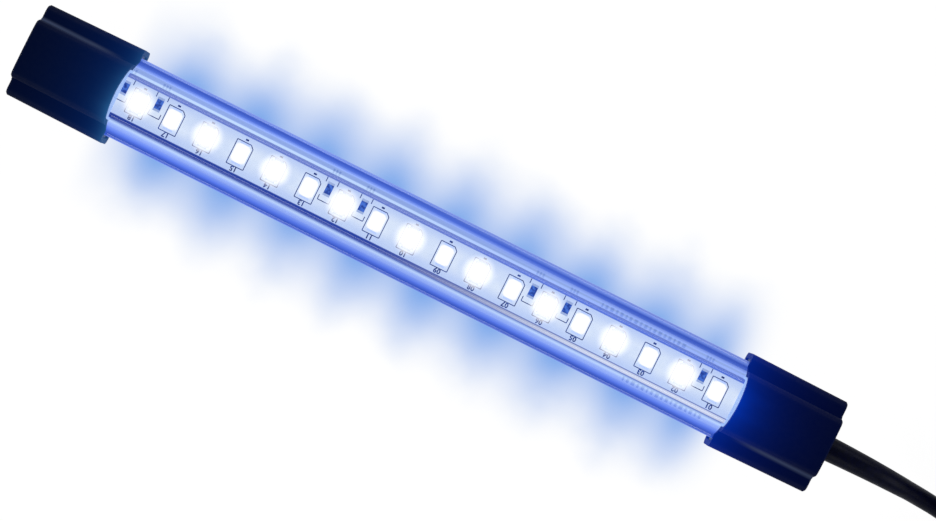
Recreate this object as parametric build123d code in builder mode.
from build123d import *
import os
from math import pi, radians, tan

# LED aquarium light: a clear stepped tube with a lit circuit board inside, a moulded cap on each end,
# a suction cup under each cap, and a low-voltage lead that ends in a round power plug.
# Millimetres. X runs along the bar with the lead at +X, Z is up and is the way the light shines, and the
# origin is on the surface that the suction cups stand on, under the middle of the bar.

os.makedirs("parts", exist_ok=True)

# ---- Driving dimensions ----

BAR_LENGTH = 190.0  # over both caps
CAP_LENGTH = 22.7
CAP_WALL = 1.75
CAP_END_WALL = 2.5
CAP_DRAFT = 0.972  # width of a cap's outer end over the width of its mouth
CAP_BOTTOM_Z = 6.5
FIT_GAP = 0.1  # between the tube and the caps that are glued on it
TUBE_INSERT = 12.8  # how far the tube reaches into a cap

WING_HALF = 9.1  # the tube's outline: low wings either side of a raised lens
WING_HEIGHT = 6.2
LENS_HALF = 5.2
LENS_HEIGHT = 9.6
LENS_CROWN = 0.4
TUBE_WALL = 1.3
LENS_WALL = 0.95

LED_PITCH = 8.15
LED_COUNT = 18
LED_ROW_Y = 0.3
LED_SIZE = (3.2, 4.2, 1.2)
WINDOW_SIZE = (2.5, 3.4, 0.4)
RESISTOR_SIZE = (1.6, 3.2, 0.55)
RESISTOR_STEPS = (-9, -8, -3, -2, 3, 4, 8)  # resistor places, in LED pitches from the middle
RESISTOR_Y = LED_ROW_Y + 1.6

BOARD_HALF_WIDTH = 7.6
BOARD_THICKNESS = 1.0
BOARD_X = (-78.5, 80.5)
TAPE_THICKNESS = 0.3

CORD_RADIUS = 2.0
CORD_EXIT_Z = 11.0
RELIEF_RADII = (2.75, 2.15)
RELIEF_LENGTH = 22.0

CUP_RADIUS = 9.7
CUP_NECK_RADIUS = 2.5
CUP_RUNNING_GAP = 0.05

# ---- Places worked out from them ----

HALF_LENGTH = BAR_LENGTH / 2
MOUTH_X = HALF_LENGTH - CAP_LENGTH
TUBE_HALF = MOUTH_X + TUBE_INSERT
TUBE_Z = CAP_BOTTOM_Z + CAP_WALL + FIT_GAP
TAPE_Z = TUBE_Z + TUBE_WALL
BOARD_Z = TAPE_Z + TAPE_THICKNESS
BOARD_TOP = BOARD_Z + BOARD_THICKNESS
CAP_CENTRE_X = HALF_LENGTH - CAP_LENGTH / 2
CAP_GROWTH = CAP_WALL + FIT_GAP

led_places = [((LED_COUNT + 1) / 2 - n) * LED_PITCH for n in range(1, LED_COUNT + 1)]
blue_places = [(x, LED_ROW_Y) for x in led_places[0::2]]
white_places = [(x, LED_ROW_Y) for x in led_places[1::2]]
resistor_places = [(step * LED_PITCH, RESISTOR_Y) for step in RESISTOR_STEPS]


def save(part, name):
    part.label = name
    export_step(part, f"parts/{name}.step")


def section(x):
    """The plane across the bar at x: its own x is Y, and its own y is the height above the tube's base."""
    return Plane(origin=(x, 0, TUBE_Z), x_dir=(0, 1, 0), z_dir=(1, 0, 0))


def stepped_outline(growth, widths=1.0, ledge=0.0):
    """The tube's stepped outline, grown outwards, with an optional small ledge at the foot of the lens."""
    wing = (WING_HALF + growth) * widths
    lens = (LENS_HALF + growth) * widths
    wing_top = WING_HEIGHT + growth
    lens_top = LENS_HEIGHT + growth
    corners = [(0, -growth), (wing, -growth), (wing, wing_top)]
    if ledge:
        corners += [(lens + ledge, wing_top), (lens + ledge, wing_top + 0.6 * ledge)]
        corners += [(lens, wing_top + 0.6 * ledge)]
    else:
        corners += [(lens, wing_top)]
    corners += [(lens, lens_top)]
    with BuildSketch() as outline:
        with BuildLine():
            Polyline(*corners)
            Polyline(*[(-x, y) for x, y in corners])
            ThreePointArc((lens, lens_top), (0, lens_top + LENS_CROWN), (-lens, lens_top))
        make_face()
        wing_corners = outline.vertices().filter_by(lambda v: abs(v.X) > wing - 0.01)
        lens_corners = outline.vertices().filter_by(lambda v: abs(v.Y - lens_top) < 0.01)
        fillet(wing_corners + lens_corners, 1.0 + 0.35 * growth)
    return outline.sketch


# ---- Clear tube: walls, side slots for the board, and the raised lens over the LEDs ----

SLOT_HALF = BOARD_HALF_WIDTH + 0.15
SLOT_TOP = TUBE_WALL + TAPE_THICKNESS + BOARD_THICKNESS + 0.2
RIB_TOP = SLOT_TOP + 0.65
RIB_HALF = SLOT_HALF - 0.7

with BuildPart() as clear_tube:
    with BuildSketch(section(-TUBE_HALF)):
        add(stepped_outline(0))
        with BuildLine():
            hollow = Polyline(
                (0, TUBE_WALL),
                (SLOT_HALF, TUBE_WALL),
                (SLOT_HALF, SLOT_TOP),
                (RIB_HALF, SLOT_TOP),
                (RIB_HALF, RIB_TOP),
                (SLOT_HALF, RIB_TOP),
                (SLOT_HALF, WING_HEIGHT - TUBE_WALL),
                (LENS_HALF - LENS_WALL, WING_HEIGHT - TUBE_WALL),
                (LENS_HALF - LENS_WALL, LENS_HEIGHT - TUBE_WALL),
            )
            mirror(hollow, about=Plane.YZ)
            ThreePointArc(
                (LENS_HALF - LENS_WALL, LENS_HEIGHT - TUBE_WALL),
                (0, LENS_HEIGHT - TUBE_WALL + LENS_CROWN),
                (LENS_WALL - LENS_HALF, LENS_HEIGHT - TUBE_WALL),
            )
        make_face(mode=Mode.SUBTRACT)
    extrude(amount=2 * TUBE_HALF)

save(clear_tube.part, "clear_tube")

# ---- Suction cups, whose necks turn in sockets under the caps ----

CUP_TOP = 3.6
CUP_LIP = 0.6
SOCKET_FACE = CUP_TOP + 0.3
SOCKET_LIP_TOP = SOCKET_FACE + 1.7
SOCKET_ROOF = SOCKET_LIP_TOP + 2.0
NECK_TOP = SOCKET_LIP_TOP + 0.15
HEAD_TOP = SOCKET_ROOF - 0.2
HEAD_RADIUS = CUP_NECK_RADIUS + 1.0


def suction_cup(side):
    place = side * CAP_CENTRE_X
    with BuildPart() as cup:
        with BuildSketch(Plane.XZ):
            with BuildLine():
                Polyline((CUP_RADIUS - CUP_LIP, 0), (CUP_RADIUS, 0), (CUP_RADIUS, 0.5))
                ThreePointArc((CUP_RADIUS, 0.5), (6.4, 1.9), (3.5, CUP_TOP))
                Polyline(
                    (3.5, CUP_TOP),
                    (CUP_NECK_RADIUS, CUP_TOP),
                    (CUP_NECK_RADIUS, NECK_TOP),
                    (HEAD_RADIUS, NECK_TOP),
                    (HEAD_RADIUS, NECK_TOP + 0.7),
                    (CUP_NECK_RADIUS, HEAD_TOP),
                    (0, HEAD_TOP),
                    (0, 1.9),
                )
                ThreePointArc((0, 1.9), (5.0, 1.25), (CUP_RADIUS - CUP_LIP, 0))
            make_face()
        revolve(axis=Axis.Z)
        with BuildSketch(Plane.XY.offset(0.2)):
            with Locations((side * (CUP_RADIUS + 0.4), 0)):
                RectangleRounded(2.6, 4.4, 1.0)
        extrude(amount=1.0)
    return cup.part.moved(Location((place, 0, 0)))


save(suction_cup(1), "cable_end_suction_cup")
save(suction_cup(-1), "plain_end_suction_cup")

# ---- End caps ----

GASKET_SEAT = 0.65  # how much wider than the tube the mouth is, where the gasket sits
GASKET_X = (MOUTH_X + 0.5, MOUTH_X + 3.0)
MOUTH_CORNER_SETBACK = 0.5  # the raised part of the mouth is cut back, most in the middle
MOUTH_SETBACK = 1.25
CHAMBER_HALF = 6.0
SOCKET_BOSS_RADIUS = 6.5
LEDGE = 0.7


def end_cap(side, has_cable):
    with BuildPart() as cap:
        with BuildSketch(section(side * MOUTH_X)):
            add(stepped_outline(CAP_GROWTH, ledge=LEDGE))
        with BuildSketch(section(side * HALF_LENGTH)):
            add(stepped_outline(CAP_GROWTH, widths=CAP_DRAFT, ledge=LEDGE))
        loft()
        outer_end = cap.faces().sort_by(Axis.X)[-1 if side > 0 else 0]
        chamfer(outer_end.edges(), 0.35)
        with BuildSketch(section(side * MOUTH_X)):
            add(stepped_outline(FIT_GAP))
        extrude(amount=side * TUBE_INSERT, mode=Mode.SUBTRACT)
        with BuildSketch(section(side * MOUTH_X)):
            add(stepped_outline(GASKET_SEAT))
        extrude(amount=side * (GASKET_X[1] - MOUTH_X), mode=Mode.SUBTRACT)
        with BuildSketch(section(side * TUBE_HALF)):
            with Locations((0, 3.6)):
                RectangleRounded(2 * CHAMBER_HALF, 5.2, 1.0)
        extrude(amount=side * (HALF_LENGTH - CAP_END_WALL - TUBE_HALF), mode=Mode.SUBTRACT)
        with BuildSketch(Plane.XY.offset(TUBE_Z + WING_HEIGHT - 1.0)):
            with BuildLine():
                ThreePointArc(
                    (side * (MOUTH_X + MOUTH_CORNER_SETBACK), 6.6),
                    (side * (MOUTH_X + MOUTH_SETBACK), 0),
                    (side * (MOUTH_X + MOUTH_CORNER_SETBACK), -6.6),
                )
                Polyline(
                    (side * (MOUTH_X + MOUTH_CORNER_SETBACK), -6.6),
                    (side * MOUTH_X, -8.1),
                    (side * (MOUTH_X - 1.0), -8.1),
                    (side * (MOUTH_X - 1.0), 8.1),
                    (side * MOUTH_X, 8.1),
                    (side * (MOUTH_X + MOUTH_CORNER_SETBACK), 6.6),
                )
            make_face()
        extrude(amount=10, mode=Mode.SUBTRACT)
        with BuildSketch(Plane.XY.offset(SOCKET_FACE)):
            with Locations((side * CAP_CENTRE_X, 0)):
                Circle(SOCKET_BOSS_RADIUS)
        extrude(until=Until.NEXT)
        with Locations((side * CAP_CENTRE_X, 0, SOCKET_FACE)):
            Cylinder(
                CUP_NECK_RADIUS + CUP_RUNNING_GAP,
                SOCKET_LIP_TOP - SOCKET_FACE,
                align=(Align.CENTER, Align.CENTER, Align.MIN),
                mode=Mode.SUBTRACT,
            )
        with Locations((side * CAP_CENTRE_X, 0, SOCKET_LIP_TOP)):
            Cylinder(
                HEAD_RADIUS + 0.3,
                SOCKET_ROOF - SOCKET_LIP_TOP,
                align=(Align.CENTER, Align.CENTER, Align.MIN),
                mode=Mode.SUBTRACT,
            )
        if has_cable:
            with Locations(Location((HALF_LENGTH, 0, CORD_EXIT_Z), (0, 90, 0))):
                Cylinder(CORD_RADIUS, 4 * CAP_END_WALL, mode=Mode.SUBTRACT)
    return cap.part


save(end_cap(1, has_cable=True), "cable_end_cap")
save(end_cap(-1, has_cable=False), "plain_end_cap")


def mouth_gasket(side):
    with BuildPart() as gasket:
        with BuildSketch(section(side * GASKET_X[0])):
            add(stepped_outline(GASKET_SEAT - 0.03))
            add(stepped_outline(0.03), mode=Mode.SUBTRACT)
        extrude(amount=side * (GASKET_X[1] - GASKET_X[0]))
    return gasket.part


save(mouth_gasket(1), "cable_end_gasket")
save(mouth_gasket(-1), "plain_end_gasket")

# ---- Circuit board on its strip of double-sided tape ----

BOARD_MIDDLE = sum(BOARD_X) / 2
BOARD_LENGTH = BOARD_X[1] - BOARD_X[0]
WIRE_PAD_X = BOARD_X[1] - 2.6
WIRE_PAD_Y = 3.0

with BuildPart() as board_tape:
    with BuildSketch(Plane.XY.offset(TAPE_Z)):
        with Locations((BOARD_MIDDLE, 0)):
            Rectangle(BOARD_LENGTH - 4, 2 * BOARD_HALF_WIDTH - 3)
    extrude(amount=TAPE_THICKNESS)

save(board_tape.part, "board_tape")

with BuildPart() as circuit_board:
    with BuildSketch(Plane.XY.offset(BOARD_Z)):
        with Locations((BOARD_MIDDLE, 0)):
            RectangleRounded(BOARD_LENGTH, 2 * BOARD_HALF_WIDTH, 0.6)
        with Locations((BOARD_X[0] + 2.2, 0), (WIRE_PAD_X - 0.4, 5.6)):
            Circle(0.8, mode=Mode.SUBTRACT)
    extrude(amount=BOARD_THICKNESS)

save(circuit_board.part, "circuit_board")

# ---- LEDs: a moulded body with a window in it, and a solder joint at each end ----

BODY_GAP = 0.02  # the height of the solder film under a body
WINDOW_FLOOR = BOARD_TOP + BODY_GAP + LED_SIZE[2] - WINDOW_SIZE[2]


def led_bodies(places):
    with BuildPart() as bodies:
        with BuildSketch(Plane.XY.offset(BOARD_TOP + BODY_GAP)):
            with Locations(places):
                Rectangle(LED_SIZE[0], LED_SIZE[1])
        extrude(amount=LED_SIZE[2])
        chamfer(bodies.edges().filter_by(Axis.Z).group_by(Axis.Y)[-1].sort_by(Axis.X)[1::2], 0.6)
        with BuildSketch(Plane.XY.offset(WINDOW_FLOOR)):
            with Locations(places):
                RectangleRounded(WINDOW_SIZE[0], WINDOW_SIZE[1], 0.5)
        extrude(amount=WINDOW_SIZE[2], mode=Mode.SUBTRACT)
    return bodies.part


def led_windows(places):
    with BuildPart() as windows:
        with BuildSketch(Plane.XY.offset(WINDOW_FLOOR)):
            with Locations(places):
                RectangleRounded(WINDOW_SIZE[0], WINDOW_SIZE[1], 0.5)
        extrude(amount=WINDOW_SIZE[2] - 0.05)
    return windows.part


save(led_bodies(white_places), "white_led_bodies")
save(led_windows(white_places), "white_led_windows")
save(led_bodies(blue_places), "blue_led_bodies")
save(led_windows(blue_places), "blue_led_windows")

JOINT_LENGTH = 0.45
joint_shift = (LED_SIZE[1] + JOINT_LENGTH) / 2

with BuildPart() as led_solder_joints:
    with BuildSketch(Plane.XY.offset(BOARD_TOP)):
        for end in (-1, 1):
            with Locations([(x, y + end * joint_shift) for x, y in white_places + blue_places]):
                Rectangle(2.2, JOINT_LENGTH)
    extrude(amount=0.4)

save(led_solder_joints.part, "led_solder_joints")

# ---- Resistors ----

TERMINAL_LENGTH = 0.5

with BuildPart() as resistor_bodies:
    with BuildSketch(Plane.XY.offset(BOARD_TOP + BODY_GAP)):
        with Locations(resistor_places):
            Rectangle(RESISTOR_SIZE[0] - 0.1, RESISTOR_SIZE[1] - 2 * TERMINAL_LENGTH)
    extrude(amount=RESISTOR_SIZE[2])

save(resistor_bodies.part, "resistor_bodies")

terminal_shift = (RESISTOR_SIZE[1] - TERMINAL_LENGTH) / 2

with BuildPart() as resistor_terminals:
    with BuildSketch(Plane.XY.offset(BOARD_TOP)):
        for end in (-1, 1):
            with Locations([(x, y + end * terminal_shift) for x, y in resistor_places]):
                Rectangle(RESISTOR_SIZE[0], TERMINAL_LENGTH)
    extrude(amount=RESISTOR_SIZE[2] + 0.07)

save(resistor_terminals.part, "resistor_terminals")

# ---- Wiring inside the cable end ----

WIRE_RADIUS = 0.65
WIRE_Z = BOARD_TOP + WIRE_RADIUS + 0.1
CORE_Y = 0.8
CABLE_INNER_X = 90.2


def wire(side):
    start = (WIRE_PAD_X + 1.2, side * WIRE_PAD_Y, WIRE_Z)
    with BuildPart() as insulated_wire:
        with BuildLine():
            path = FilletPolyline(
                start,
                (86.2, side * WIRE_PAD_Y, WIRE_Z),
                (88.6, side * CORE_Y, CORD_EXIT_Z),
                (CABLE_INNER_X, side * CORE_Y, CORD_EXIT_Z),
                radius=1.2,
            )
        with BuildSketch(Plane(origin=start, z_dir=(1, 0, 0))):
            Circle(WIRE_RADIUS)
        sweep(path=path)
    return insulated_wire.part


positive_wire = wire(1)
negative_wire = wire(-1)
save(positive_wire, "positive_wire")
save(negative_wire, "negative_wire")

with BuildPart() as wire_solder_joints:
    with BuildSketch(Plane.XY.offset(BOARD_TOP)):
        with Locations((WIRE_PAD_X, WIRE_PAD_Y), (WIRE_PAD_X, -WIRE_PAD_Y)):
            Circle(1.15)
    extrude(amount=1.5, taper=20)

save(wire_solder_joints.part, "wire_solder_joints")

with BuildPart() as cable_inner_end:
    with Locations(Location((CABLE_INNER_X, 0, CORD_EXIT_Z), (0, 90, 0))):
        Cylinder(
            CORD_RADIUS,
            HALF_LENGTH - CABLE_INNER_X,
            align=(Align.CENTER, Align.CENTER, Align.MIN),
        )

save(cable_inner_end.part, "cable_inner_end")

POTTING_X = (87.6, HALF_LENGTH - CAP_END_WALL)

with BuildPart() as cable_potting:
    with BuildSketch(section(POTTING_X[0])):
        with Locations((0, 3.6)):
            RectangleRounded(2 * CHAMBER_HALF - 0.1, 5.1, 0.95)
    extrude(amount=POTTING_X[1] - POTTING_X[0])
    add(cable_inner_end.part, mode=Mode.SUBTRACT)
    add(positive_wire, mode=Mode.SUBTRACT)
    add(negative_wire, mode=Mode.SUBTRACT)

save(cable_potting.part, "cable_potting")

# ---- Silicone bungs that close the tube's ends above the board ----

BUNG_LENGTH = 3.5
BUNG_BASE = RIB_TOP + 0.1


def tube_bung(side):
    with BuildPart() as bung:
        with BuildSketch(section(side * (TUBE_HALF - BUNG_LENGTH))):
            with Locations((0, BUNG_BASE)):
                Rectangle(
                    2 * SLOT_HALF - 0.2,
                    WING_HEIGHT - TUBE_WALL - 0.1 - BUNG_BASE,
                    align=(Align.CENTER, Align.MIN),
                )
                Rectangle(
                    2 * (LENS_HALF - LENS_WALL) - 0.2,
                    LENS_HEIGHT - TUBE_WALL - 0.1 - BUNG_BASE,
                    align=(Align.CENTER, Align.MIN),
                )
        extrude(amount=side * BUNG_LENGTH)
        if side > 0:
            add(positive_wire, mode=Mode.SUBTRACT)
            add(negative_wire, mode=Mode.SUBTRACT)
    return bung.part


save(tube_bung(1), "cable_end_bung")
save(tube_bung(-1), "plain_end_bung")

# ---- Lead: out of the cap, down to the surface, and into a tied hank that is put away in line ----

LEAD_POINTS = [
    (HALF_LENGTH, 0, CORD_EXIT_Z),
    (103.6, 0.0, 11.0),
    (112.0, -0.2, 8.75),
    (119.6, -0.5, 4.4),
    (127.6, -1.2, 2.15),
    (135.2, -3.2, 2.1),
    (141.4, -6.7, 2.1),
]
TAIL_POINTS = [
    (193.5, -8.3, 6.15),
    (200.0, -7.9, 6.1),
    (206.8, -6.7, 4.3),
    (213.0, -6.7, 4.3),
]

HANK_NEAR_X = 148.0  # centres of the hank's end loops
HANK_FAR_X = 191.5
HANK_Y = 7.2
HANK_OUTER = 18.2
HANK_INNER = 10.0
HANK_WAIST = (5.0, 13.2)
HANK_HEIGHT = 16.4
HANK_MIDDLE_X = (HANK_NEAR_X + HANK_FAR_X) / 2
TIE_WIDTH = 9.0
TIE_THICKNESS = 0.9


def hank_outline(end_radius, waist):
    """One closed edge of the hank: round ends, and sides drawn in at the tie."""
    with BuildSketch() as outline:
        with BuildLine():
            for side in (-1, 1):
                Spline(
                    (HANK_NEAR_X, HANK_Y + side * end_radius),
                    (HANK_MIDDLE_X, HANK_Y + side * waist),
                    (HANK_FAR_X, HANK_Y + side * end_radius),
                    tangents=[(1, 0), (1, 0)],
                )
            for centre_x, reach in ((HANK_NEAR_X, -end_radius), (HANK_FAR_X, end_radius)):
                ThreePointArc(
                    (centre_x, HANK_Y + end_radius),
                    (centre_x + reach, HANK_Y),
                    (centre_x, HANK_Y - end_radius),
                )
        make_face()
    return outline.sketch


with BuildPart() as hank_tie:
    with BuildSketch(Plane.YZ.offset(HANK_MIDDLE_X - TIE_WIDTH / 2)):
        with Locations((HANK_Y, HANK_HEIGHT / 2 + TIE_THICKNESS / 2)):
            RectangleRounded(2 * HANK_WAIST[1] + 2 * TIE_THICKNESS, HANK_HEIGHT + TIE_THICKNESS, 3.5)
            RectangleRounded(
                2 * HANK_WAIST[1], HANK_HEIGHT - TIE_THICKNESS, 3.5 - TIE_THICKNESS, mode=Mode.SUBTRACT
            )
    extrude(amount=TIE_WIDTH)

save(hank_tie.part, "hank_tie")

with BuildPart() as cable_hank:
    with BuildSketch(Plane.XY):
        add(hank_outline(HANK_OUTER, HANK_WAIST[1]))
        add(hank_outline(HANK_INNER, HANK_WAIST[0]), mode=Mode.SUBTRACT)
    extrude(amount=HANK_HEIGHT)
    with BuildSketch(Plane.YZ.offset(HANK_MIDDLE_X - TIE_WIDTH / 2)):
        with Locations((HANK_Y, HANK_HEIGHT / 2)):
            Rectangle(4 * HANK_OUTER, 2 * HANK_HEIGHT)
        with Locations((HANK_Y, HANK_HEIGHT / 2 + TIE_THICKNESS / 2)):
            RectangleRounded(
                2 * HANK_WAIST[1], HANK_HEIGHT - TIE_THICKNESS, 3.5 - TIE_THICKNESS, mode=Mode.SUBTRACT
            )
    extrude(amount=TIE_WIDTH, mode=Mode.SUBTRACT)

save(cable_hank.part, "cable_hank")


def cord_path(points, name):
    """A path of straight runs joined by arcs, each as large as its two runs allow. Prints the radii."""
    corners = [Vector(*p) for p in points]
    runs = [b - a for a, b in zip(corners, corners[1:])]
    radii = [
        0.45 * min(a.length, b.length) / tan(radians(a.get_angle(b)) / 2)
        for a, b in zip(runs, runs[1:])
    ]
    print(name, "arc radii", [round(r, 1) for r in radii])
    return FilletPolyline(*points, radius=radii)


def cord_tube(points, name):
    """The cord along a path, up to the hank's surface. Prints its volume and its section times its length."""
    with BuildPart() as tube:
        with BuildLine():
            path = cord_path(points, name)
        with BuildSketch(Plane(origin=path @ 0, z_dir=path % 0)):
            Circle(CORD_RADIUS)
        sweep(path=path)
        print(name, "volume", round(tube.part.volume, 1), round(pi * CORD_RADIUS**2 * path.length, 1))
        add(cable_hank.part, mode=Mode.SUBTRACT)
    return tube.part


lead = cord_tube(LEAD_POINTS, "lead")
save(lead, "power_cable")
save(cord_tube(TAIL_POINTS, "tail"), "power_cable_tail")

RELIEF_STATIONS = 5

with BuildPart() as strain_relief:
    with BuildLine(mode=Mode.PRIVATE):
        relief_path = cord_path(LEAD_POINTS, "relief")
    for station in range(RELIEF_STATIONS):
        share = station / (RELIEF_STATIONS - 1)
        along = share * RELIEF_LENGTH / relief_path.length
        with BuildSketch(Plane(origin=relief_path @ along, z_dir=relief_path % along)):
            Circle(RELIEF_RADII[0] + share * (RELIEF_RADII[1] - RELIEF_RADII[0]))
    loft()
    add(lead, mode=Mode.SUBTRACT)

save(strain_relief.part, "strain_relief")

# ---- Power plug: 5.5 mm barrel with a 2.1 mm bore, in a moulded grip ----

PLUG_X = TAIL_POINTS[-1][0]
PLUG_Y = TAIL_POINTS[-1][1]
PLUG_Z = TAIL_POINTS[-1][2]
GRIP_LENGTH = 22.0
BARREL_LENGTH = 9.5
BARREL_RADIUS = 2.75
INSULATOR_RADIUS = 2.35
CONTACT_RADIUS = 1.5
CONTACT_BORE = 1.05
plug_axis = Location((PLUG_X, PLUG_Y, PLUG_Z), (0, 90, 0))


def plug_ring(outer, inner):
    """A ring on the plug's axis, from the grip's face to the plug's tip."""
    with BuildPart() as ring:
        with Locations(plug_axis * Location((0, 0, GRIP_LENGTH))):
            Cylinder(outer, BARREL_LENGTH, align=(Align.CENTER, Align.CENTER, Align.MIN))
            Cylinder(
                inner,
                BARREL_LENGTH,
                align=(Align.CENTER, Align.CENTER, Align.MIN),
                mode=Mode.SUBTRACT,
            )
    return ring.part


save(plug_ring(BARREL_RADIUS, INSULATOR_RADIUS), "plug_barrel")
save(plug_ring(INSULATOR_RADIUS, CONTACT_RADIUS), "plug_insulator")
save(plug_ring(CONTACT_RADIUS, CONTACT_BORE), "plug_inner_contact")

GRIP_RADIUS = PLUG_Z
with BuildPart() as plug_grip:
    with BuildSketch(Plane.XZ):
        with BuildLine():
            Polyline(
                (0, 0),
                (0, 2.45),
                (6.0, 3.0),
                (7.5, GRIP_RADIUS - 0.1),
                (8.6, GRIP_RADIUS),
                (GRIP_LENGTH - 1.0, GRIP_RADIUS),
                (GRIP_LENGTH, GRIP_RADIUS - 0.8),
                (GRIP_LENGTH, 0),
                close=True,
            )
        make_face()
        with Locations([(11.0 + 2.2 * step, GRIP_RADIUS) for step in range(4)]):
            Rectangle(0.9, 0.7, mode=Mode.SUBTRACT)
    revolve(axis=Axis.X)

save(plug_grip.part.moved(Location((PLUG_X, PLUG_Y, PLUG_Z))), "plug_grip")
